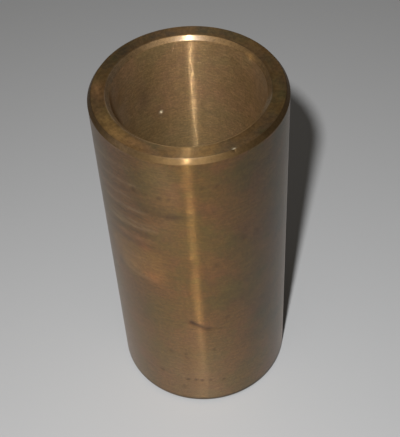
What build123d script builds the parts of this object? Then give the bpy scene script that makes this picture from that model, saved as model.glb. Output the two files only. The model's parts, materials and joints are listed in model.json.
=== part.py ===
"""Plain bronze sleeve bushing, turned from one length of tube, in millimetres.

The sleeve stands on its lower end face with its bore upright. The origin is the centre of that face
and +Z runs along the bore. Both ends are alike: a flat ring, a long shallow lead-in outside and a
short chamfer inside.
"""

import os

from build123d import *

# Driving dimensions
bore_diameter = 35.0
wall_thickness = 5.0
sleeve_length = 95.0
lead_in_length = 1.2  # along the sleeve, on the outer edge of each end
lead_in_depth = 0.8  # into the wall, on the outer edge of each end
bore_chamfer = 0.9  # both legs, on the bore's edge at each end

# Worked out from them
bore_radius = bore_diameter / 2
outer_radius = bore_radius + wall_thickness
face_inner_radius = bore_radius + bore_chamfer
face_outer_radius = outer_radius - lead_in_depth

# Half section from the lower end face outwards, up the outside, and down the bore
half_section = [
    (face_inner_radius, 0),
    (face_outer_radius, 0),
    (outer_radius, lead_in_length),
    (outer_radius, sleeve_length - lead_in_length),
    (face_outer_radius, sleeve_length),
    (face_inner_radius, sleeve_length),
    (bore_radius, sleeve_length - bore_chamfer),
    (bore_radius, bore_chamfer),
]

with BuildPart() as sleeve:
    with BuildSketch(Plane.XZ):
        with BuildLine():
            Polyline(*half_section, close=True)
        make_face()
    revolve(axis=Axis.Z)

sleeve.part.label = "sleeve"

os.makedirs("parts", exist_ok=True)
export_step(sleeve.part, "parts/sleeve.step")
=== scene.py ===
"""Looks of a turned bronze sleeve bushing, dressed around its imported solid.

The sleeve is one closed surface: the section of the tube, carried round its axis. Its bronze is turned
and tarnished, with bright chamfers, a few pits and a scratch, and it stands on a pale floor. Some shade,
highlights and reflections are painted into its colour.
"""

import json
import logging
import math
from dataclasses import dataclass, field, replace
from enum import Enum

import bpy
import numpy as np
from bpy.types import Material, Mesh, Node, NodeOutputs, NodeSocket, NodeTree, Object, World
from mathutils import Matrix, Vector

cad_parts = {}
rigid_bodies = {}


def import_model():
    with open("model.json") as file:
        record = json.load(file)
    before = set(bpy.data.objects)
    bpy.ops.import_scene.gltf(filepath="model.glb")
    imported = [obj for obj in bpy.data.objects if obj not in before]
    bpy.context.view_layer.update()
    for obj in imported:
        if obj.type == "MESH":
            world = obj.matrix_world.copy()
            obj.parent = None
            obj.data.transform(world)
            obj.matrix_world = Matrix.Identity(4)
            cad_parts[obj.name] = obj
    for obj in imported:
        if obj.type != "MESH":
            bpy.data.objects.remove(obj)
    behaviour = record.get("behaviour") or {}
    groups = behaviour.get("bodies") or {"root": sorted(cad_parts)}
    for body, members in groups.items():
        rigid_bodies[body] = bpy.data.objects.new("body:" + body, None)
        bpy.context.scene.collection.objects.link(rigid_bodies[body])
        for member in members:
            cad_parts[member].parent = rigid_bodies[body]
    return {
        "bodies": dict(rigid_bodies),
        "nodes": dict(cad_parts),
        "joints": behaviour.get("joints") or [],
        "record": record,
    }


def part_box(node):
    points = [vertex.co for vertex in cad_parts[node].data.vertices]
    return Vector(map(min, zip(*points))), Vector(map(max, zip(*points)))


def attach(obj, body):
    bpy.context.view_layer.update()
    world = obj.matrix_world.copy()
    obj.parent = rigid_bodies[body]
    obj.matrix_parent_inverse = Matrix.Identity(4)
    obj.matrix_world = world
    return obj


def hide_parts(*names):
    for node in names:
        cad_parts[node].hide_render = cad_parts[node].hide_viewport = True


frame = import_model()

MM = 0.001
NODE = "sleeve"
BODY = "root"

UV_MAP = "turned"
TONE_LAYER = "tone"
SOIL_LAYER = "soiled"

LOG = logging.getLogger("bushing")

Wire = NodeSocket | float | tuple[float, ...]


# Colours and choices


@dataclass(frozen=True)
class Tint:
    """A colour, as the red, green and blue of a paint card, 0 to 255."""

    red: float
    green: float
    blue: float

    def linear(self) -> tuple[float, float, float, float]:
        """Works out the colour as linear light.

        A screen value is a short straight foot followed by a power, and this undoes both.

        Returns:
            Red, green, blue and full opacity.
        """
        parts = np.array([self.red, self.green, self.blue]) / 255.0
        light = np.where(parts <= 0.04045, parts / 12.92, ((parts + 0.055) / 1.055) ** 2.4)
        return (float(light[0]), float(light[1]), float(light[2]), 1.0)


class Surface(Enum):
    """The turned surfaces of the sleeve, in the order of its material slots."""

    OUTSIDE = 0
    LEAD_IN = 1
    END_FACE = 2
    BORE_CHAMFER = 3
    BORE = 4


class Across(Enum):
    """The direction in which turning lines follow each other."""

    ALONG_AXIS = "height"
    ALONG_RADIUS = "radius"


# Shader wiring


class Wiring:
    """Adds nodes to one shader tree and joins them."""

    # Where a Mix node has its factor and its two colours, and where it puts out the mixed one.
    MIX_SOCKETS = (0, 6, 7)
    MIX_RESULT = 2

    def __init__(self, tree: NodeTree) -> None:
        """Takes the empty shader node tree to fill."""
        self.tree = tree

    def add(self, kind: str, **settings: object) -> Node:
        """Adds a node.

        Args:
            kind: the node's class name after "ShaderNode".
            settings: properties to set on it.

        Returns:
            The new node.
        """
        node = self.tree.nodes.new("ShaderNode" + kind)
        for name, value in settings.items():
            setattr(node, name, value)
        return node

    def feed(self, socket: NodeSocket, value: Wire) -> None:
        """Joins a socket to another, or sets it to a plain value.

        Args:
            socket: the input to feed.
            value: an output, or the value to set.
        """
        if isinstance(value, NodeSocket):
            self.tree.links.new(value, socket)
        else:
            socket.default_value = value

    def fill(self, node: Node, **values: Wire) -> Node:
        """Feeds several inputs of a node.

        Args:
            node: the node.
            values: its inputs, with spaces written as underscores.

        Returns:
            The same node.
        """
        for name, value in values.items():
            self.feed(node.inputs[name.replace("_", " ")], value)
        return node

    def math(self, operation: str, first: Wire, second: Wire = 0.0, clamp: bool = False) -> NodeSocket:
        """Adds a Math node.

        Args:
            operation: what it works out.
            first: the first value.
            second: the second value.
            clamp: whether the result is kept within 0 to 1.

        Returns:
            The result.
        """
        node = self.add("Math", operation=operation, use_clamp=clamp)
        self.feed(node.inputs[0], first)
        self.feed(node.inputs[1], second)
        return node.outputs[0]

    def spread(self, value: Wire, low: Wire, high: Wire, start: Wire = 0.0, end: Wire = 1.0) -> NodeSocket:
        """Maps low..high to start..end, smoothly and without overshoot.

        Args:
            value: the value to map.
            low: the value that gives start.
            high: the value that gives end.
            start: the result at low.
            end: the result at high.

        Returns:
            The mapped value.
        """
        node = self.add("MapRange", interpolation_type="SMOOTHSTEP")
        self.fill(node, Value=value, From_Min=low, From_Max=high, To_Min=start, To_Max=end)
        return node.outputs["Result"]

    def blend(self, factor: Wire, first: Wire, second: Wire, mode: str = "MIX") -> NodeSocket:
        """Mixes two colours.

        Args:
            factor: the second colour's share.
            first: the first colour.
            second: the second colour.
            mode: how the second is laid on the first.

        Returns:
            The mixed colour.
        """
        node = self.add("Mix", data_type="RGBA", blend_type=mode)
        for place, item in zip(self.MIX_SOCKETS, (factor, first, second)):
            self.feed(node.inputs[place], item)
        return node.outputs[self.MIX_RESULT]

    def noise(self, vector: Wire, scale: Wire, detail: float = 2.0, roughness: float = 0.5) -> NodeSocket:
        """Adds a Noise Texture.

        Args:
            vector: where it is read.
            scale: its lumps per unit of length.
            detail: how many finer layers it has.
            roughness: how strong each finer layer is.

        Returns:
            Its value.
        """
        node = self.add("TexNoise")
        self.fill(node, Vector=vector, Scale=scale, Detail=detail, Roughness=roughness)
        return node.outputs["Fac"]

    def use(self, group: NodeTree, **values: Wire) -> Node:
        """Places a shared group, and feeds its inputs by name."""
        return self.fill(self.add("Group", node_tree=group), **values)


class SharedEffects:
    """The node groups that more than one finish uses.

    Noise seldom comes near 0 or 1, so each RANGE is the part of it that is spread from 0 to 1. A
    STRETCH, RATE or SCALE is relative to the noise or distance it is used on.
    """

    LINE_HEIGHT_RANGE = (0.42, 0.58)
    LINE_TONE_RANGE = (0.40, 0.66)
    BAND_RANGE = (0.38, 0.62)
    BAND_STRETCH = (1.0, 1.0, 0.22)
    WANDER_RATE = 0.21
    BEADS_PER_METRE = 1600.0
    BEADING_RANGE = (0.36, 0.64)
    # How far up its flanks a groove still counts as bright.
    GROOVE_EDGE = 0.25
    BLOTCH_RANGE = (0.36, 0.64)
    HUE_RANGE = (0.38, 0.62)
    HUE_SCALE = 0.7
    SECOND_PLACE = (0.37, 0.11, 0.53)
    GRAIN_RANGE = (0.34, 0.66)
    SPECK_RANGE = (0.66, 0.76)
    SPECK_SCALE = 0.8

    def __init__(self) -> None:
        """Builds each group once."""
        self.turning = self._turning_lines()
        self.grooves = self._tool_grooves()
        self.tarnish = self._tarnish()
        self.marks = self._marks_and_painted_light()

    @staticmethod
    def _group(
        name: str, inputs: dict[str, tuple[str, ...]], outputs: dict[str, tuple[str, ...]]
    ) -> tuple[NodeTree, Wiring, NodeOutputs, Node]:
        """Makes an empty group.

        Args:
            name: the group's name.
            inputs: each kind of socket, with the names of the inputs of that kind.
            outputs: the same for the outputs.

        Returns:
            The tree, its wiring, what it is given, and its output node.
        """
        tree = bpy.data.node_groups.new(name, "ShaderNodeTree")
        for side, sockets in (("INPUT", inputs), ("OUTPUT", outputs)):
            for kind, labels in sockets.items():
                for label in labels:
                    tree.interface.new_socket(name=label, in_out=side, socket_type="NodeSocket" + kind)
        given = tree.nodes.new("NodeGroupInput").outputs
        return tree, Wiring(tree), given, tree.nodes.new("NodeGroupOutput")

    @staticmethod
    def _ring_point(net: Wiring, given: NodeOutputs, run: Wire) -> NodeSocket:
        """Makes the point at which noise is read so that it follows rings.

        Going round the axis moves it in x and y by the drift, and going across the lines in z.

        Args:
            net: the group's wiring.
            given: what the group is given.
            run: the distance across the lines, in lumps of the noise.

        Returns:
            The point.
        """
        around = net.add("VectorMath", operation="SCALE")
        net.fill(around, Vector=given["Around"], Scale=given["Drift"])
        parts = net.fill(net.add("SeparateXYZ"), Vector=around.outputs[0]).outputs
        return net.fill(net.add("CombineXYZ"), X=parts["X"], Y=parts["Y"], Z=run).outputs[0]

    def _turning_lines(self) -> NodeTree:
        """Builds the lines that a lathe tool leaves.

        Noise is read at a point that moves fast across the lines and slowly round the axis, so each
        line runs round the sleeve and changes a little on its way. The same noise, stretched across
        the lines, gives wider bands.

        Returns:
            The group's tree.
        """
        tree, net, given, leave = self._group(
            "Turning Lines",
            {"Float": ("Across", "Lines Per Metre", "Drift"), "Vector": ("Around",)},
            {"Float": ("Height", "Line", "Band")},
        )
        run = net.math("MULTIPLY", given["Across"], given["Lines Per Metre"])
        point = self._ring_point(net, given, run)
        height = net.noise(point, 1.0, detail=3.0, roughness=0.65)
        slow = net.add("VectorMath", operation="MULTIPLY")
        net.feed(slow.inputs[0], point)
        net.feed(slow.inputs[1], self.BAND_STRETCH)
        band = net.noise(slow.outputs[0], 1.0)
        net.fill(
            leave,
            Height=net.spread(height, *self.LINE_HEIGHT_RANGE),
            Line=net.spread(height, *self.LINE_TONE_RANGE),
            Band=net.spread(band, *self.BAND_RANGE),
        )
        return tree

    def _tool_grooves(self) -> NodeTree:
        """Builds the fine V grooves of the lathe tool.

        Distance across the lines is folded into a triangle wave, whose tips are cut off to leave a
        narrow V in each turn. A noise along the same distance shifts the turns a little, so every
        groove stays a true circle, and a slow noise makes some stretches of them shallower.

        Returns:
            The group's tree.
        """
        tree, net, given, leave = self._group(
            "Tool Grooves",
            {"Float": ("Across", "Grooves Per Metre", "Width", "Beading", "Drift", "Wander"),
             "Vector": ("Around",)},
            {"Float": ("Cut", "Inside")},
        )
        run = net.math("MULTIPLY", given["Across"], given["Grooves Per Metre"])
        wander = net.add("TexNoise", noise_dimensions="1D")
        net.fill(wander, W=net.math("MULTIPLY", run, self.WANDER_RATE), Scale=1.0, Detail=1.0)
        shift = net.math("MULTIPLY", wander.outputs["Fac"], given["Wander"])
        folded = net.math("PINGPONG", net.math("ADD", run, shift), 0.5)
        flank = net.math("DIVIDE", folded, given["Width"])
        cut = net.math("SUBTRACT", 1.0, flank, clamp=True)

        beads = net.math("MULTIPLY", given["Across"], self.BEADS_PER_METRE)
        bead = net.noise(self._ring_point(net, given, beads), 1.0, detail=2.0, roughness=0.6)
        shallow = net.math("SUBTRACT", 1.0, given["Beading"])
        deep = net.math("ADD", 1.0, net.math("MULTIPLY", given["Beading"], 0.5))
        strength = net.spread(bead, *self.BEADING_RANGE, shallow, deep)
        net.fill(
            leave,
            Cut=net.math("MULTIPLY", cut, strength),
            Inside=net.spread(cut, 0.0, self.GROOVE_EDGE),
        )
        return tree

    def _tarnish(self) -> NodeTree:
        """Builds the mottling of old bronze.

        Noises of different grain give the mask where metal has darkened, a second hue, a fine grain
        and specks. The hue and the specks are read elsewhere, so they don't follow the rest.

        Returns:
            The group's tree.
        """
        tree, net, given, leave = self._group(
            "Tarnish",
            {"Float": ("Blotch Scale", "Grain Scale"), "Vector": ("Place",)},
            {"Float": ("Blotch", "Hue", "Grain", "Speck")},
        )
        place = given["Place"]
        second = net.fill(net.add("Mapping"), Vector=place, Location=self.SECOND_PLACE).outputs[0]
        blotch = net.noise(place, given["Blotch Scale"], detail=4.0, roughness=0.6)
        hue_scale = net.math("MULTIPLY", given["Blotch Scale"], self.HUE_SCALE)
        hue = net.noise(second, hue_scale, detail=5.0, roughness=0.68)
        grain = net.noise(place, given["Grain Scale"], detail=3.0, roughness=0.6)
        speck_scale = net.math("MULTIPLY", given["Grain Scale"], self.SPECK_SCALE)
        speck = net.noise(second, speck_scale, detail=1.0)
        net.fill(
            leave,
            Blotch=net.spread(blotch, *self.BLOTCH_RANGE),
            Hue=net.spread(hue, *self.HUE_RANGE),
            Grain=net.spread(grain, *self.GRAIN_RANGE),
            Speck=net.spread(speck, *self.SPECK_RANGE),
        )
        return tree

    def _marks_and_painted_light(self) -> NodeTree:
        """Builds the reader of the toned and soiled places that the mesh carries. The tone holds real
        marks and painted shade, highlights and reflections.

        The tone's share is made uneven by a mottling noise, so that its edge breaks up.

        Returns:
            The group's tree.
        """
        tree, net, given, leave = self._group(
            "Marks and Painted Light",
            {"Float": ("Mottle", "Unevenness")},
            {"Color": ("Tone",), "Float": ("Share", "Soiled")},
        )
        tone = net.add("Attribute", attribute_type="GEOMETRY", attribute_name=TONE_LAYER)
        soil = net.add("Attribute", attribute_type="GEOMETRY", attribute_name=SOIL_LAYER)
        swing = net.math("SUBTRACT", net.math("MULTIPLY", given["Mottle"], 2.0), 1.0)
        uneven = net.math("ADD", net.math("MULTIPLY", swing, given["Unevenness"]), 1.0)
        net.fill(
            leave,
            Tone=tone.outputs["Color"],
            Share=net.math("MULTIPLY", tone.outputs["Alpha"], uneven, clamp=True),
            Soiled=soil.outputs["Fac"],
        )
        return tree


# Finishes


@dataclass(frozen=True)
class Layers:
    """One material's wiring, and what its shared groups put out."""

    net: Wiring
    lines: NodeOutputs
    grooves: NodeOutputs
    tarnish: NodeOutputs
    marks: NodeOutputs


@dataclass(frozen=True)
class TurnedFinish:
    """Turned bronze: bright metal under brown and olive tarnish, with lines left by the tool.

    Depths are in metres. Shares, masks and shades run from 0 to 1. The groove width is a share of
    the pitch, and the groove slope its depth over its width.
    """

    name: str
    metal: Tint
    brown: Tint
    olive: Tint
    soil: Tint
    tarnished: float
    olive_share: float
    groove_roughness: float
    land_roughness: float
    line_drift: float
    line_shade: float
    blotch_scale: float
    grain_scale: float
    groove_width: float
    groove_slope: float
    across: Across = Across.ALONG_AXIS
    lines_per_metre: float = 2600.0
    grooves_per_metre: float = 9000.0
    groove_beading: float = 0.2
    groove_wander: float = 0.5
    grain_shade: float = 0.16
    unevenness: float = 0.35
    bare_metallic: float = 1.0
    tarnished_metallic: float = 1.0
    film: float = 0.5
    film_roughness: float = 0.3
    anisotropy: float = 0.6
    streak_turn: float = 0.25
    line_depth: float = 1.5e-6
    bump_reach: float = 0.01
    even_tarnish: float = 0.4
    blotch_tarnish: float = 0.65
    band_tarnish: float = 0.3
    groove_brightness: float = 0.7
    speck_soiling: float = 0.25
    soil_roughness: float = 0.4

    def material(self, effects: SharedEffects) -> Material:
        """Builds the material.

        Tarnish is an even part, blotches and bands, less the bright grooves. Roughness is the
        lands' own, more where soiled, and the grooves' inside them.

        Args:
            effects: the shared node groups.

        Returns:
            The material, with one Principled shader.
        """
        made = bpy.data.materials.new(self.name)
        made.use_nodes = True
        made.node_tree.nodes.clear()
        net = Wiring(made.node_tree)
        place = net.add("TexCoord").outputs["Object"]
        parts = net.fill(net.add("SeparateXYZ"), Vector=place).outputs
        flat = net.fill(net.add("CombineXYZ"), X=parts["X"], Y=parts["Y"]).outputs[0]
        around = net.fill(net.add("VectorMath", operation="NORMALIZE"), Vector=flat).outputs["Vector"]
        radius = net.fill(net.add("VectorMath", operation="LENGTH"), Vector=flat).outputs["Value"]
        across = parts["Z"] if self.across is Across.ALONG_AXIS else radius

        ring = {"Across": across, "Around": around, "Drift": self.line_drift}
        lines = net.use(effects.turning, Lines_Per_Metre=self.lines_per_metre, **ring)
        grooves = net.use(
            effects.grooves, Grooves_Per_Metre=self.grooves_per_metre, Width=self.groove_width,
            Beading=self.groove_beading, Wander=self.groove_wander, **ring,
        )
        tarnish = net.use(
            effects.tarnish, Place=place, Blotch_Scale=self.blotch_scale, Grain_Scale=self.grain_scale
        )
        marks = net.use(effects.marks, Mottle=tarnish.outputs["Blotch"], Unevenness=self.unevenness)
        layers = Layers(net, lines.outputs, grooves.outputs, tarnish.outputs, marks.outputs)

        blotches = net.math("MULTIPLY", layers.tarnish["Blotch"], self.tarnished * self.blotch_tarnish)
        evened = net.math("ADD", blotches, self.tarnished * self.even_tarnish)
        bands = net.math("MULTIPLY", layers.lines["Band"], self.tarnished * self.band_tarnish)
        bared = net.math("MULTIPLY", layers.grooves["Inside"], self.groove_brightness)
        darkened = net.math("SUBTRACT", net.math("ADD", evened, bands), bared, clamp=True)
        soil = net.math("MULTIPLY", layers.marks["Soiled"], self.soil_roughness)
        land = net.math("ADD", soil, self.land_roughness, clamp=True)
        shader = net.fill(
            net.add("BsdfPrincipled"),
            Base_Color=self._colour(layers, darkened),
            Metallic=net.spread(darkened, 0.0, 1.0, self.bare_metallic, self.tarnished_metallic),
            Roughness=net.spread(layers.grooves["Inside"], 0.0, 1.0, land, self.groove_roughness),
            Normal=self._bump(layers),
            Tangent=net.add("Tangent", direction_type="UV_MAP", uv_map=UV_MAP).outputs[0],
            Anisotropic=self.anisotropy,
            Anisotropic_Rotation=self.streak_turn,
            Coat_Weight=self.film,
            Coat_Roughness=self.film_roughness,
        )
        net.fill(net.add("OutputMaterial"), Surface=shader.outputs[0])
        return made

    def _colour(self, layers: Layers, darkened: NodeSocket) -> NodeSocket:
        """Lays tarnish, marks with painted shade and highlights, the shade of lines and grain, and soil
        over the bare metal, in turn.

        Args:
            layers: what the groups put out.
            darkened: the mask of tarnish.

        Returns:
            The colour.
        """
        net, tarnish, marks = layers.net, layers.tarnish, layers.marks
        hue = net.math("MULTIPLY", tarnish["Hue"], self.olive_share)
        coat = net.blend(hue, self.brown.linear(), self.olive.linear())
        colour = net.blend(darkened, self.metal.linear(), coat)
        # The tone carried by the mesh: real marks, and painted shade, highlights and reflections.
        colour = net.blend(marks["Share"], colour, marks["Tone"])
        lined = net.spread(layers.lines["Line"], 0.0, 1.0, 1.0 - self.line_shade, 1.0)
        half_grain = self.grain_shade / 2
        grained = net.spread(tarnish["Grain"], 0.0, 1.0, 1.0 - half_grain, 1.0 + half_grain)
        shade = net.math("MULTIPLY", lined, grained)
        shaded = net.fill(net.add("CombineColor"), Red=shade, Green=shade, Blue=shade)
        colour = net.blend(1.0, colour, shaded.outputs[0], "MULTIPLY")
        specks = net.math("MULTIPLY", tarnish["Speck"], self.speck_soiling)
        soiled = net.math("ADD", marks["Soiled"], specks, clamp=True)
        return net.blend(soiled, colour, self.soil.linear())

    def _bump(self, layers: Layers) -> NodeSocket:
        """Raises the lines and sinks the grooves, both in metres.

        Args:
            layers: what the groups put out.

        Returns:
            The bumped normal.
        """
        net = layers.net
        groove_depth = self.groove_slope * self.groove_width / self.grooves_per_metre
        cut = net.math("MULTIPLY", layers.grooves["Cut"], -groove_depth)
        raised = net.math("MULTIPLY", layers.lines["Height"], self.line_depth)
        height = net.math("ADD", cut, raised)
        bump = net.add("Bump")
        net.fill(bump, Height=height, Strength=1.0, Distance=1.0, Filter_Width=self.bump_reach)
        return bump.outputs[0]


OUTSIDE_FINISH = TurnedFinish(
    name="turned_outside",
    metal=Tint(138, 102, 50),
    brown=Tint(147, 98, 58),
    olive=Tint(106, 102, 42),
    soil=Tint(68, 38, 22),
    tarnished=0.55,
    olive_share=0.7,
    groove_roughness=0.175,
    land_roughness=0.45,
    line_drift=5,
    line_shade=0.16,
    blotch_scale=130,
    grain_scale=1500,
    groove_width=0.039,
    groove_slope=1.66,
    groove_beading=0.25,
    grain_shade=0.22,
    unevenness=0.22,
    film=0.58,
)

LEAD_IN_FINISH = TurnedFinish(
    name="turned_lead_in",
    metal=Tint(136, 108, 70),
    brown=Tint(102, 78, 50),
    olive=Tint(90, 76, 44),
    soil=Tint(70, 52, 34),
    tarnished=0.35,
    olive_share=0.5,
    groove_roughness=0.14,
    land_roughness=0.68,
    lines_per_metre=3000,
    line_drift=1.2,
    line_shade=0.05,
    blotch_scale=160,
    grain_scale=1300,
    groove_width=0.039,
    groove_slope=0.31,
    grain_shade=0.2,
)

END_FACE_FINISH = TurnedFinish(
    name="turned_end_face",
    across=Across.ALONG_RADIUS,
    metal=Tint(130, 98, 58),
    brown=Tint(88, 68, 45),
    olive=Tint(80, 71, 40),
    soil=Tint(60, 44, 28),
    tarnished=0.85,
    olive_share=0.8,
    groove_roughness=0.2,
    land_roughness=0.65,
    line_drift=1.5,
    line_shade=0.1,
    blotch_scale=170,
    grain_scale=1300,
    groove_width=0.04,
    groove_slope=0.8,
    grain_shade=0.3,
    bare_metallic=0.85,
    tarnished_metallic=0.55,
    film=0.2,
)

BORE_CHAMFER_FINISH = replace(
    LEAD_IN_FINISH,
    name="turned_bore_chamfer",
    metal=Tint(172, 138, 92),
    brown=Tint(140, 110, 72),
    olive=Tint(120, 100, 62),
    tarnished=0.25,
    land_roughness=0.66,
    groove_width=0.098,
    groove_slope=0.1,
    bare_metallic=0.9,
    tarnished_metallic=0.85,
)

BORE_FINISH = TurnedFinish(
    name="turned_bore",
    metal=Tint(160, 130, 86),
    brown=Tint(146, 106, 75),
    olive=Tint(122, 109, 68),
    soil=Tint(80, 58, 36),
    tarnished=0.5,
    olive_share=0.7,
    groove_roughness=0.15,
    land_roughness=0.65,
    line_drift=9,
    line_shade=0.21,
    blotch_scale=110,
    grain_scale=2100,
    groove_width=0.043,
    groove_slope=0.98,
    grooves_per_metre=8000,
    groove_beading=0.12,
    groove_wander=0.75,
    grain_shade=0.26,
    bare_metallic=0.75,
    tarnished_metallic=0.35,
)

# In the order of Surface.
FINISHES = (OUTSIDE_FINISH, LEAD_IN_FINISH, END_FACE_FINISH, BORE_CHAMFER_FINISH, BORE_FINISH)


# Marks on the metal, and shade, highlights and reflections painted onto it. Angles run from the front
# towards the right hand, in degrees, and lengths are in millimetres. Across is the height, or the radius
# on the upper face.


@dataclass(frozen=True)
class Dent:
    """A small pit or ding. Soiling below zero leaves it polished."""

    angle: float
    across: float
    radius: float
    depth: float
    soiling: float
    surface: Surface = Surface.OUTSIDE


@dataclass(frozen=True)
class Scratch:
    """A straight scratch in the unrolled outside, from one end to the other, that fades out."""

    start_angle: float
    start_height: float
    end_angle: float
    end_height: float
    width: float
    depth: float
    soiling: float


@dataclass(frozen=True)
class Band:
    """A soft band of another tone that climbs round the outside."""

    from_angle: float
    to_angle: float
    height: float
    thickness: float
    climb: float
    tone: Tint
    strength: float


@dataclass(frozen=True)
class Patch:
    """A place of another tone on one surface, whose edge is soft, or crisp for a high crispness. Some are
    real tones and wear, and some are painted shade, highlights and reflections.
    """

    angle: float
    across: float
    half_angle: float
    half_across: float
    tone: Tint
    strength: float
    crispness: float = 2.0


DENTS = (
    Dent(-4, 10.9, 0.55, 0.06, 1),
    Dent(-8, 11, 0.45, 0.04, 0.6),
    Dent(-13.5, 10.9, 0.5, 0.05, 0.7),
    Dent(2, 10.8, 0.45, 0.04, 0.6),
    Dent(11, 10.2, 0.5, 0.04, 0.5),
    Dent(-16.5, 7.2, 0.55, 0.04, 0.5),
    Dent(-13.5, 23.2, 0.45, 0.03, 0.5),
    Dent(-13, 21.5, 0.45, 0.03, 0.5),
    Dent(5.5, 25.2, 0.5, 0.04, 0.5),
    Dent(-23.5, 23.3, 0.6, 0.03, 0.4),
    Dent(-32, 12.5, 0.7, 0.03, 0.4),
    Dent(4, 86.5, 0.5, 0.03, 0.5),
    Dent(12, 86.2, 0.5, 0.03, 0.5),
    Dent(-15, 82.9, 0.45, 0.03, 0.5),
    Dent(-21, 82.6, 0.5, 0.03, 0.5),
    Dent(-28.5, 83, 0.45, 0.03, 0.4),
    Dent(-36.5, 82.9, 0.55, 0.03, 0.5),
    Dent(27.5, 66.2, 0.5, 0.03, 0.5),
    Dent(37, 66.4, 0.45, 0.03, 0.4),
    Dent(9.5, 59.6, 0.55, 0.03, 0.4),
    Dent(15, 38, 0.55, 0.03, 0.4),
    Dent(23.6, 22, 0.28, 0.22, -1, Surface.END_FACE),
    Dent(-156.1, 73.6, 0.26, 0.44, -1, Surface.BORE),
)

SCRATCHES = (
    Scratch(-8.2, 37.7, 2.6, 34.4, 0.66, 0.1, 1),
    Scratch(3, 35, 11, 34.2, 0.45, 0.03, 0.3),
    Scratch(-17, 76.9, -9, 77.3, 0.7, 0.01, 0.4),
    Scratch(-30, 77.2, -6, 77, 0.8, 0.01, 0.2),
)

PALE = Tint(196, 164, 124)
COPPERY = Tint(196, 140, 92)
GOLDEN = Tint(188, 144, 84)
DEEP = Tint(60, 50, 40)
UMBER = Tint(66, 48, 26)
# A moss-green tone: one blotch on the right, and painted shade over the outside's right-hand side.
MOSS_AND_SHADE = Tint(56, 54, 36)
ORANGE = Tint(214, 128, 70)
OLIVE = Tint(96, 84, 42)
GREYISH = Tint(150, 132, 112)
CHALKY = Tint(196, 182, 160)
# A near-white tone for polished spots, bright enough to paint their glint.
POLISHED_GLINT = Tint(255, 238, 200)
AMBER = Tint(232, 182, 116)
STRAW = Tint(200, 148, 74)

BANDS = (
    Band(-74, -36, 87.6, 0.5, 2.6, PALE, 0.3),
    Band(-74, -34, 85.2, 0.4, 2.6, UMBER, 0.34),
    Band(-72, -30, 83.2, 0.5, 2.5, PALE, 0.32),
    Band(-72, -34, 81, 0.4, 2.5, UMBER, 0.32),
    Band(-70, -36, 78.8, 0.5, 2.2, PALE, 0.32),
    Band(-68, -26, 75.4, 0.5, 2, PALE, 0.48),
    Band(-68, -28, 73.6, 0.5, 2, UMBER, 0.46),
    Band(-67, -22, 71.4, 0.4, 2.2, PALE, 0.42),
    Band(-66, -22, 69.8, 0.5, 2.4, PALE, 0.58),
    Band(-66, -24, 68, 0.5, 2.4, UMBER, 0.5),
    Band(-60, -24, 66, 0.6, 2, COPPERY, 0.45),
    Band(-70, -20, 63.8, 0.7, 2.4, UMBER, 0.56),
    Band(-62, -30, 60.2, 0.5, 0, UMBER, 0.2),
    Band(-62, -28, 58.6, 0.4, -1, PALE, 0.2),
    Band(-62, -30, 56.5, 0.4, -1, UMBER, 0.16),
    Band(-64, -34, 54.4, 0.4, -1.2, PALE, 0.24),
    Band(-66, -26, 52.2, 0.5, -1.2, PALE, 0.42),
    Band(-64, -32, 50.8, 0.5, -1, UMBER, 0.22),
)

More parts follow.
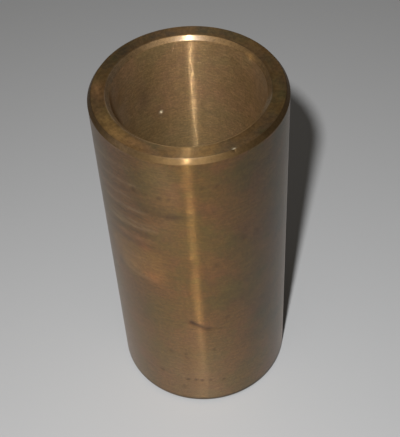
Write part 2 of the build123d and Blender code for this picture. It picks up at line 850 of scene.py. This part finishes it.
PATCHES: dict[Surface, tuple[Patch, ...]] = {
    Surface.OUTSIDE: (
        Patch(-42, 57, 20.5, 6, STRAW, 0.4, 6),
        Patch(-30.5, 53.2, 6.5, 2.4, ORANGE, 0.35),
        Patch(-33, 63.8, 6.5, 1.6, ORANGE, 0.25),
        # Painted light: paler at the top, to the left of the highlight streak.
        Patch(-18, 84, 10, 16, PALE, 0.14),
        # Painted shade: the right-hand side of the outside darkened from top to bottom, away from the
        # light.
        Patch(61, 50, 12, 70, MOSS_AND_SHADE, 0.4),
        # Painted light: the left-hand side made lighter, towards the light.
        Patch(-50, 50, 24, 36, STRAW, 0.18),
        # Painted light: a paler glow low on the front, around the foot of the highlight streak.
        Patch(-5, 8, 24, 22, PALE, 0.3),
        # Painted shade: two more broad darkenings of the outside's right-hand side.
        Patch(46, 88, 30, 40, MOSS_AND_SHADE, 0.36),
        Patch(50, 30, 24, 40, MOSS_AND_SHADE, 0.36),
        Patch(-44, 38, 12, 7, OLIVE, 0.3),
        Patch(30, 43, 20, 6, OLIVE, 0.25),
        Patch(34, 25.5, 8, 2.2, OLIVE, 0.4),
        Patch(-58, 52, 3, 2, DEEP, 0.35),
        Patch(-22, 78.2, 16, 2.4, OLIVE, 0.45),
        Patch(-12, 77.2, 4.5, 0.6, DEEP, 0.45),
        # Painted shade: a dark band all round the foot of the outside.
        Patch(0, 1.3, 300, 0.6, DEEP, 0.6),
        Patch(45, 34, 11, 9, MOSS_AND_SHADE, 0.18),
    ),
    Surface.LEAD_IN: (
        # Painted shade: the lower lead-in darkened all round, as it faces away from the light.
        Patch(0, 0.6, 300, 2, DEEP, 0.65),
        # Painted highlight: the lead-in's bright band carried further to the left.
        Patch(-47, 94.4, 14, 2, PALE, 0.42),
    ),
    Surface.END_FACE: (
        Patch(-55, 20.2, 17, 1.6, GOLDEN, 0.42),
        Patch(-16, 20.4, 7, 2.2, DEEP, 0.22),
        Patch(-36, 20.6, 12, 1.4, COPPERY, 0.18),
        Patch(4, 19.6, 12, 2.4, GOLDEN, 0.18),
        Patch(-95, 20, 8, 1.6, COPPERY, 0.28),
        Patch(180, 20, 36, 3, DEEP, 0.32),
        Patch(132, 20, 14, 2, GOLDEN, 0.12),
        Patch(-136, 20, 9, 2, DEEP, 0.45),
        Patch(48, 20.5, 10, 2, DEEP, 0.2),
        # Painted glint on the polished nick at the face's outer edge.
        Patch(23.6, 21.9, 1, 0.4, POLISHED_GLINT, 1),
    ),
    Surface.BORE_CHAMFER: (
        Patch(-85, 94.5, 45, 2, GREYISH, 0.6),
        Patch(80, 94.5, 36, 2, DEEP, 0.35),
        # Painted highlight: the bore chamfer's bright band drawn out towards the left.
        Patch(-154, 94.5, 9, 2, PALE, 0.34),
        # Painted shade: the same bright band dimmed on its right.
        Patch(163, 94.5, 8, 2, DEEP, 0.2),
        # Painted reflection: a pale band on the chamfer's right, as of the pale floor.
        Patch(70, 94.5, 10, 2, CHALKY, 0.32),
        Patch(124.5, 94.3, 5, 0.5, AMBER, 0.5),
    ),
    Surface.BORE: (
        Patch(-112, 84, 22, 12, GREYISH, 0.4),
        # Painted reflection: the bore's right-hand top made greyer and paler, as of the pale floor.
        Patch(104, 88, 12, 8, GREYISH, 0.45),
        Patch(98, 92.4, 9, 2.4, CHALKY, 0.3),
        Patch(-101, 91.8, 8, 2.2, CHALKY, 0.22),
        Patch(124, 93.8, 3, 0.5, AMBER, 0.6),
        Patch(-142, 81, 7, 4, DEEP, 0.28),
        Patch(-156.1, 73.6, 3.2, 1.1, DEEP, 0.35),
        # Painted glint on the polished ding in the bore.
        Patch(-156.1, 73.6, 1.4, 0.4, POLISHED_GLINT, 1),
    ),
}


# The sleeve


@dataclass(frozen=True)
class SleeveSizes:
    """The sleeve's sizes in metres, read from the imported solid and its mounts."""

    outer_radius: float
    bore_radius: float
    length: float
    face_inner_radius: float
    face_outer_radius: float
    lead_in_length: float
    bore_chamfer: float

    @classmethod
    def from_frame(cls, packed: dict) -> "SleeveSizes":
        """Reads the sizes: the radii and lengths of the mounts, and the upper face's two edges.


        Returns:
            The sizes.
        """
        node = packed["nodes"][NODE]
        corners = np.empty(len(node.data.vertices) * 3, np.float32)
        node.data.vertices.foreach_get("co", corners)
        corners = corners.reshape(-1, 3).astype(float)
        low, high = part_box(NODE)
        length = high.z - low.z
        on_top = corners[:, 2] > high.z - 0.01 * MM
        radii = np.hypot(corners[on_top, 0], corners[on_top, 1])
        mounts = {mount["name"]: mount["dims"] for mount in packed["record"]["mounts"]}
        return cls(
            outer_radius=mounts["outside"]["r_mm"] * MM,
            bore_radius=mounts["bore"]["r_mm"] * MM,
            length=length,
            face_inner_radius=float(radii.min()),
            face_outer_radius=float(radii.max()),
            lead_in_length=(length - mounts["outside"]["length_mm"] * MM) / 2,
            bore_chamfer=(length - mounts["bore"]["length_mm"] * MM) / 2,
        )


@dataclass(frozen=True)
class Focus:
    """A place where points lie closer together, as the middle, spread and gain of a bell curve."""

    middle: float
    spread: float
    gain: float


# Heights in millimetres, and angles in degrees, of the places with the finest marks, and of the painted
# shade at the foot.
ROW_FOCUSES: dict[Surface, tuple[Focus, ...]] = {
    Surface.OUTSIDE: (
        Focus(1.4, 0.8, 1.2), Focus(10.8, 1.2, 1.6), Focus(35.2, 2.6, 1.8),
        Focus(23.5, 2.0, 0.6), Focus(83.0, 1.0, 0.7), Focus(77.0, 1.0, 0.7),
    ),
    Surface.BORE: (Focus(73.6, 0.6, 12.0),),
}
COLUMN_FOCUSES = (
    Focus(-3.0, 10.0, 1.4), Focus(-8.0, 60.0, 0.8), Focus(-156.1, 1.4, 4.0), Focus(23.6, 1.6, 2.0),
)
FINE_STEPS = 8000


def graded(low: float, high: float, count: int, focuses: tuple[Focus, ...]) -> np.ndarray:
    """Places points between two limits, closer together near each focus.

    The density is one, plus a bell curve round each focus. Its running sum is scaled to run from 0
    to 1 and read backwards at even steps.

    Args:
        low: the first point.
        high: the last point.
        count: how many points.
        focuses: the bells, in the limits' unit.

    Returns:
        The points, in order.
    """
    fine = np.linspace(low, high, FINE_STEPS + 1)
    density = np.ones_like(fine)
    for focus in focuses:
        density += focus.gain * np.exp(-(((fine - focus.middle) / focus.spread) ** 2))
    running = np.concatenate([[0.0], np.cumsum((density[1:] + density[:-1]) / 2)])
    return np.interp(np.linspace(0.0, 1.0, count), running / running[-1], fine)


@dataclass(frozen=True)
class Grid:
    """The surface's points: a row for each point of the section, a column for each angle.

    Angles are in radians from the front, and lengths in metres.
    """

    angle: np.ndarray
    radius: np.ndarray
    height: np.ndarray
    surfaces: np.ndarray

    def on(self, surface: Surface) -> np.ndarray:
        """Returns which rows lie on a surface, as one column."""
        return (self.surfaces == surface.value)[:, None]

    def places(self) -> np.ndarray:
        """Returns the points: radius times sine, minus radius times cosine, and height."""
        return np.stack(
            [self.radius * np.sin(self.angle), -self.radius * np.cos(self.angle), self.height], axis=-1
        )


@dataclass
class SleeveMesh:
    """The sleeve as one closed surface: its rounded section carried round the axis."""

    sizes: SleeveSizes
    edge_break: float = 0.14 * MM
    columns: int = 396
    outside_rows: int = 134
    lead_in_rows: int = 5
    face_rows: int = 10
    chamfer_rows: int = 4
    bore_rows: int = 48
    lower_face_rows: int = 4
    lower_edge_rows: int = 3
    arc_rows: int = 4
    scratch_fade: float = 0.45
    band_fades: float = 5.0

    def section(self) -> tuple[np.ndarray, np.ndarray, np.ndarray]:
        """Works out the closed section.

        Each corner of the eight-sided section is an arc that touches both sides: its centre lies
        inside the corner by the edge break times the sum of the two outward normals over one plus
        their product. Straight runs join the arcs. An arc next to a chamfer belongs to the chamfer.

        Returns:
            Points (radius, height), their outward normals, and the surface of the run that starts
            at each point.
        """
        s = self.sizes
        top = s.length
        corners = np.array([
            (s.face_inner_radius, 0.0), (s.face_outer_radius, 0.0),
            (s.outer_radius, s.lead_in_length), (s.outer_radius, top - s.lead_in_length),
            (s.face_outer_radius, top), (s.face_inner_radius, top),
            (s.bore_radius, top - s.bore_chamfer), (s.bore_radius, s.bore_chamfer),
        ])
        kinds = [Surface.END_FACE, Surface.LEAD_IN, Surface.OUTSIDE, Surface.LEAD_IN,
                 Surface.END_FACE, Surface.BORE_CHAMFER, Surface.BORE, Surface.BORE_CHAMFER]
        rows = [self.lower_face_rows, self.lower_edge_rows, self.outside_rows, self.lead_in_rows,
                self.face_rows, self.chamfer_rows, self.bore_rows, self.lower_edge_rows]
        chamfers = (Surface.LEAD_IN, Surface.BORE_CHAMFER)
        sides = np.roll(corners, -1, axis=0) - corners
        lengths = np.linalg.norm(sides, axis=1)
        along = sides / lengths[:, None]
        normals = np.stack([along[:, 1], -along[:, 0]], axis=1)
        before = np.roll(normals, 1, axis=0)
        share = 1.0 + (before * normals).sum(axis=1)
        centres = corners - self.edge_break * (before + normals) / share[:, None]
        cut = self.edge_break * np.sqrt((2.0 - share) / share)

        points, facing, surfaces = [], [], []
        for i, kind in enumerate(kinds):
            start = math.atan2(before[i, 1], before[i, 0])
            sweep = (math.atan2(normals[i, 1], normals[i, 0]) - start) % (2 * math.pi)
            bearing = start + sweep * np.linspace(0.0, 1.0, self.arc_rows + 1)[:-1]
            arc_normals = np.stack([np.cos(bearing), np.sin(bearing)], axis=1)
            points.append(centres[i] + self.edge_break * arc_normals)
            facing.append(arc_normals)
            arc_kind = kind if kind in chamfers else kinds[i - 1]
            surfaces += [arc_kind.value] * self.arc_rows
            focuses = tuple(
                Focus(abs(focus.middle * MM - corners[i, 1]), focus.spread * MM, focus.gain)
                for focus in ROW_FOCUSES.get(kind, ())
            )
            last = lengths[i] - cut[(i + 1) % len(kinds)]
            steps = graded(cut[i], last, rows[i] + 1, focuses)[:-1]
            points.append(corners[i] + along[i] * steps[:, None])
            facing.append(np.repeat(normals[i][None], rows[i], axis=0))
            surfaces += [kind.value] * rows[i]
        return np.concatenate(points), np.concatenate(facing), np.array(surfaces)

    def bearings(self) -> np.ndarray:
        """Places the columns.

        Returns:
            The angle of each column, in radians from the front, starting at the back.
        """
        focuses = tuple(
            Focus(math.radians(focus.middle), math.radians(focus.spread), focus.gain)
            for focus in COLUMN_FOCUSES
        )
        return graded(-math.pi, math.pi, self.columns + 1, focuses)[:-1]

    def build(self) -> Object:
        """Builds the mesh object.

        The section is carried round the axis, and each point is then moved inwards along the
        section's normal by the depth of the marks.

        Returns:
            The object, at the origin, with its UV map and its mark attributes.
        """
        points, facing, surfaces = self.section()
        bearings = self.bearings()
        radius, angle = np.meshgrid(points[:, 0], bearings, indexing="ij")
        height = np.repeat(points[:, 1][:, None], self.columns, axis=1)
        grid = Grid(angle, radius, height, surfaces)
        depth, soiled = self.marks(grid)
        tone = self.tones(grid)
        radius = radius - depth * facing[:, 0][:, None]
        height = height - depth * facing[:, 1][:, None]
        places = Grid(angle, radius, height, surfaces).places().reshape(-1, 3)

        row = np.arange(len(points))[:, None]
        column = np.arange(self.columns)[None, :]
        above = (row + 1) % len(points)
        beside = (column + 1) % self.columns
        quads = np.stack([
            row * self.columns + column,
            row * self.columns + beside,
            above * self.columns + beside,
            above * self.columns + column,
        ], axis=-1).reshape(-1, 4)

        mesh = bpy.data.meshes.new("sleeve_surface")
        mesh.from_pydata(places.tolist(), [], quads.tolist())
        mesh.polygons.foreach_set("use_smooth", np.ones(len(quads), bool))
        mesh.polygons.foreach_set("material_index", np.repeat(surfaces, self.columns).astype(np.int32))
        self._unroll(mesh, points, bearings)
        layer = mesh.attributes.new(SOIL_LAYER, "FLOAT", "POINT")
        layer.data.foreach_set("value", soiled.reshape(-1).astype(np.float32))
        layer = mesh.attributes.new(TONE_LAYER, "FLOAT_COLOR", "POINT")
        layer.data.foreach_set("color", tone.reshape(-1).astype(np.float32))
        mesh.update()
        piece = bpy.data.objects.new("sleeve_turned", mesh)
        bpy.context.scene.collection.objects.link(piece)
        return piece

    def _unroll(self, mesh: Mesh, points: np.ndarray, bearings: np.ndarray) -> None:
        """Lays out the UV map: round the sleeve is u, along the section is v, each from 0 to 1.

        Args:
            mesh: the mesh to give the map.
            points: the section's points.
            bearings: the columns' angles.
        """
        steps = np.linalg.norm(np.roll(points, -1, axis=0) - points, axis=1)
        v_low = np.concatenate([[0.0], np.cumsum(steps)[:-1]]) / steps.sum()
        v_high = np.append(v_low[1:], 1.0)
        u_low = (bearings + math.pi) / (2 * math.pi)
        u_high = np.append(u_low[1:], 1.0)
        corner_u = np.stack([u_low, u_high, u_high, u_low], axis=-1)
        corner_v = np.stack([v_low, v_low, v_high, v_high], axis=-1)
        layout = np.empty((len(points), len(bearings), 4, 2), np.float32)
        layout[..., 0] = corner_u[None, :, :]
        layout[..., 1] = corner_v[:, None, :]
        layer = mesh.uv_layers.new(name=UV_MAP)
        layer.data.foreach_set("uv", layout.reshape(-1))

    def marks(self, grid: Grid) -> tuple[np.ndarray, np.ndarray]:
        """Works out the dents and scratches over the grid.

        A dent is a bell of the straight distance from its middle. A scratch is a bell of the
        distance from its line, measured on the unrolled outside, and weaker towards its end.

        Args:
            grid: the surface's points.

        Returns:
            The depth in metres and the soiled share, over the grid.
        """
        outer = self.sizes.outer_radius
        around = grid.angle * outer
        depth = np.zeros_like(around)
        soiled = np.zeros_like(around)
        places = grid.places()
        for dent in DENTS:
            turn = math.radians(dent.angle)
            reach, level = self._seat(dent.surface, dent.across * MM)
            middle = np.array([reach * math.sin(turn), -reach * math.cos(turn), level])
            gap = np.linalg.norm(places - middle, axis=-1)
            bell = np.exp(-((gap / (dent.radius * MM)) ** 2))
            depth += dent.depth * MM * bell
            soiled += dent.soiling * bell
        for scratch in SCRATCHES:
            start = np.array([math.radians(scratch.start_angle) * outer, scratch.start_height * MM])
            end = np.array([math.radians(scratch.end_angle) * outer, scratch.end_height * MM])
            line = end - start
            share = ((around - start[0]) * line[0] + (grid.height - start[1]) * line[1]) / (line @ line)
            near = np.clip(share, 0.0, 1.0)
            gap = np.hypot(around - start[0] - near * line[0], grid.height - start[1] - near * line[1])
            fade = (1.0 - self.scratch_fade * near) * grid.on(Surface.OUTSIDE)
            bell = np.exp(-((gap / (scratch.width * MM)) ** 2)) * fade
            depth += scratch.depth * MM * bell
            soiled += scratch.soiling * bell
        return depth, np.clip(soiled, -1.0, 1.0)

    def _seat(self, surface: Surface, across: float) -> tuple[float, float]:
        """Finds a place on a surface.

        Args:
            surface: the upper face, the bore or the outside.
            across: the radius on the face, or else the height.

        Returns:
            The place's radius and height.
        """
        if surface is Surface.END_FACE:
            return across, self.sizes.length
        if surface is Surface.BORE:
            return self.sizes.bore_radius, across
        return self.sizes.outer_radius, across

    def tones(self, grid: Grid) -> np.ndarray:
        """Works out the colour laid over the metal, and its share: real tones and wear, and painted shade,
        highlights and reflections.

        A band is a bell of the height above its climbing centre line, faded in and out over its
        angles. A patch is a bell round the axis times a bell across it, squarer for a crisp edge.
        Patches of the end face are on the upper one only. Each is laid over those before it, as one
        coat of paint over another.

        Args:
            grid: the surface's points.

        Returns:
            Red, green and blue as linear light, and the share, over the grid.
        """
        degrees = np.degrees(grid.angle)
        coats = []
        for band in BANDS:
            share = (degrees - band.from_angle) / (band.to_angle - band.from_angle)
            fade = np.clip(np.minimum(share, 1.0 - share) * self.band_fades, 0.0, 1.0)
            middle = (band.height + band.climb * (share - 0.5)) * MM
            bell = np.exp(-(((grid.height - middle) / (band.thickness * MM)) ** 2))
            coats.append((band.tone, band.strength * fade * bell * grid.on(Surface.OUTSIDE)))
        for surface, patches in PATCHES.items():
            allowed, measured = grid.on(surface), grid.height
            if surface is Surface.END_FACE:
                allowed, measured = allowed & (grid.height > self.sizes.length / 2), grid.radius
            for patch in patches:
                turned = (degrees - patch.angle + 180.0) % 360.0 - 180.0
                aside = np.abs(turned / patch.half_angle) ** patch.crispness
                above = np.abs((measured / MM - patch.across) / patch.half_across) ** patch.crispness
                coats.append((patch.tone, patch.strength * np.exp(-aside - above) * allowed))
        colour = np.zeros(grid.angle.shape + (3,))
        total = np.zeros(grid.angle.shape)
        for tint, share in coats:
            colour = colour * (1.0 - share[..., None]) + np.array(tint.linear()[:3]) * share[..., None]
            total = total * (1.0 - share) + share
        colour = colour / np.maximum(total, 1e-6)[..., None]
        return np.concatenate([colour, total[..., None]], axis=-1)


@dataclass
class Bushing:
    """The whole bushing: its surface and its finishes."""

    sizes: SleeveSizes
    effects: SharedEffects = field(default_factory=SharedEffects)

    def build(self) -> Object:
        """Builds the sleeve, dresses it and puts it in the solid's place.

        Returns:
            The dressed piece.
        """
        piece = SleeveMesh(self.sizes).build()
        for finish in FINISHES:
            piece.data.materials.append(finish.material(self.effects))
        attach(piece, BODY)
        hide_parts(NODE)
        return piece


# Studio


@dataclass(frozen=True)
class PaperFloor:
    """A pale sheet of paper, far larger than the bushing, a hair below its lower face."""

    half_width: float = 2.0
    cells: int = 8
    level: float = -0.02 * MM
    colour: Tint = Tint(199, 200, 201)
    roughness: float = 0.9
    specular: float = 0.2

    def build(self) -> Object:
        """Builds the floor, as a flat square grid.

        Returns:
            The floor.
        """
        side = self.cells + 1
        steps = np.linspace(-self.half_width, self.half_width, side)
        across, back = np.meshgrid(steps, steps, indexing="ij")
        places = np.stack([across, back, np.full_like(across, self.level)], axis=-1).reshape(-1, 3)
        cell = np.arange(self.cells)
        first = (cell[:, None] * side + cell[None, :]).reshape(-1)
        quads = np.stack([first, first + side, first + side + 1, first + 1], axis=-1)
        mesh = bpy.data.meshes.new("paper_floor")
        mesh.from_pydata(places.tolist(), [], quads.tolist())
        floor = bpy.data.objects.new("paper_floor", mesh)
        bpy.context.scene.collection.objects.link(floor)
        made = bpy.data.materials.new("paper")
        made.use_nodes = True
        shader = made.node_tree.nodes["Principled BSDF"]
        shader.inputs["Base Color"].default_value = self.colour.linear()
        shader.inputs["Roughness"].default_value = self.roughness
        shader.inputs["Specular IOR Level"].default_value = self.specular
        mesh.materials.append(made)
        return floor


@dataclass(frozen=True)
class Lamp:
    """One small round lamp near the camera, that faces the bushing."""

    name: str = "near_lamp"
    place: tuple[float, float, float] = (-0.0205, -0.1630, 0.2810)
    aim: tuple[float, float, float] = (0.0, 0.0, 0.05)
    width: float = 0.012
    power: float = 0.88

    def build(self) -> Object:
        """Builds the lamp and points it at its aim.

        Returns:
            The lamp.
        """
        light = bpy.data.lights.new(self.name, "AREA")
        light.shape = "DISK"
        light.size = self.width
        light.energy = self.power
        lamp = bpy.data.objects.new(self.name, light)
        lamp.location = self.place
        lamp.rotation_mode = "QUATERNION"
        lamp.rotation_quaternion = (Vector(self.aim) - Vector(self.place)).to_track_quat("-Z", "Y")
        bpy.context.scene.collection.objects.link(lamp)
        return lamp


@dataclass(frozen=True)
class Viewpoint:
    """The camera, in front of the bushing and looking down on it. Angles are in degrees."""

    back: float = 0.168124
    up: float = 0.244137
    turn: float = 0.2560
    tilt: float = 48.9497
    lean: float = -3.6693
    lens: float = 83.35
    nearest: float = 0.01

    def build(self) -> Object:
        """Builds the camera and makes it the scene's own.

        The view direction comes from the turn and the tilt, and the picture is then leaned about it.

        Returns:
            The camera.
        """
        turn, tilt, lean = (math.radians(a) for a in (self.turn, self.tilt, self.lean))
        ahead = Vector((math.sin(turn) * math.cos(tilt), math.cos(turn) * math.cos(tilt), -math.sin(tilt)))
        level = Vector((math.cos(turn), -math.sin(turn), 0.0))
        upright = level.cross(ahead)
        right = math.cos(lean) * level + math.sin(lean) * upright
        top = math.cos(lean) * upright - math.sin(lean) * level
        data = bpy.data.cameras.new("camera")
        data.lens = self.lens
        data.clip_start = self.nearest
        camera = bpy.data.objects.new("camera", data)
        turned = Matrix((right, top, -ahead)).transposed().to_4x4()
        camera.matrix_world = Matrix.Translation((0.0, -self.back, self.up)) @ turned
        bpy.context.scene.collection.objects.link(camera)
        bpy.context.scene.camera = camera
        return camera


@dataclass(frozen=True)
class RoomLight:
    """Even light from all round, a little stronger from the left."""

    low: float = 0.03
    high: float = 0.12
    colour: tuple[float, float, float, float] = (1.0, 0.93, 0.84, 1.0)

    def build(self) -> World:
        """Builds the world, whose strength falls from the left to the right.

        Returns:
            The world.
        """
        world = bpy.data.worlds.new("room")
        world.use_nodes = True
        world.node_tree.nodes.clear()
        net = Wiring(world.node_tree)
        way = net.add("TexCoord").outputs["Generated"]
        sideways = net.fill(net.add("SeparateXYZ"), Vector=way).outputs["X"]
        strength = net.spread(sideways, -1.0, 1.0, self.high, self.low)
        shade = net.fill(net.add("Background"), Color=self.colour, Strength=strength)
        net.fill(net.add("OutputWorld"), Surface=shade.outputs[0])
        bpy.context.scene.world = world
        return world


def main() -> None:
    """Builds the camera, the bushing and the studio."""
    logging.basicConfig(level=logging.INFO, format="%(name)s: %(message)s")
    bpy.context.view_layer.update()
    camera = Viewpoint().build()
    LOG.info("camera %s with a lens of %.1f mm", camera.name, camera.data.lens)
    piece = Bushing(SleeveSizes.from_frame(frame)).build()
    faces, finishes = len(piece.data.polygons), len(piece.data.materials)
    LOG.info("piece %s: %d faces, %d finishes", piece.name, faces, finishes)
    LOG.info("stage %s", PaperFloor().build().name)
    LOG.info("lamp %s", Lamp().build().name)
    LOG.info("world %s", RoomLight().build().name)
    bpy.context.scene.view_settings.view_transform = "Standard"


if __name__ == "__main__":
    main()
